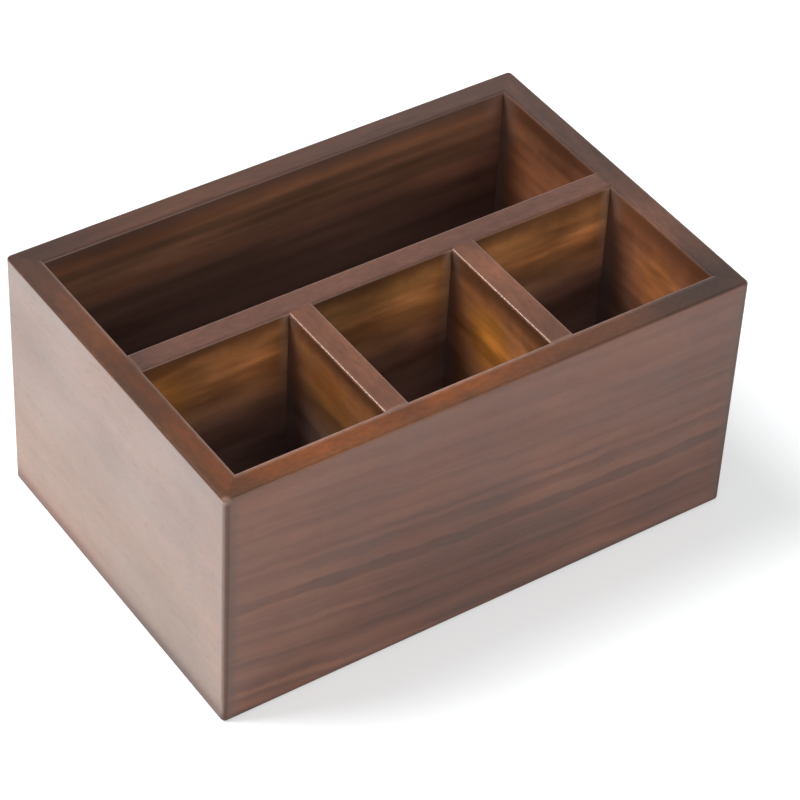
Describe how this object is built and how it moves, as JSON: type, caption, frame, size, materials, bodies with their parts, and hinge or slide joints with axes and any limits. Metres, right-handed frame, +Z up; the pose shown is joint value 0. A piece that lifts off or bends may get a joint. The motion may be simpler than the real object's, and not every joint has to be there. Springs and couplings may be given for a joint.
{
  "type": "flatware caddy",
  "caption": "Open-topped wooden caddy with a long rear compartment and smaller front compartments, for standing flatware and napkins on a table.",
  "frame": {"origin": "middle of the footprint, on the plane that the bottom edges of the walls rest on", "axes": "+X along the length, towards the right end; -Y towards the front, where the small compartments are; +Z up"},
  "size_m": [0.26, 0.176, 0.126],
  "materials": {
    "wall_wood": "dark walnut stain under satin lacquer",
    "divider_wood": "walnut stain under satin lacquer, warmer and more golden than the walls",
    "base_veneer": "stained veneer, satin",
    "spline_wood": "bare hardwood, glued in"
  },
  "bodies": {
    "root": {"front_panel": "wall_wood", "back_panel": "wall_wood", "left_end_panel": "wall_wood", "right_end_panel": "wall_wood", "long_divider": "divider_wood", "left_cross_divider": "divider_wood", "right_cross_divider": "divider_wood", "base_panel": "base_veneer", "front_left_spline": "spline_wood", "front_right_spline": "spline_wood", "back_left_spline": "spline_wood", "back_right_spline": "spline_wood"}
  },
  "joints": []
}
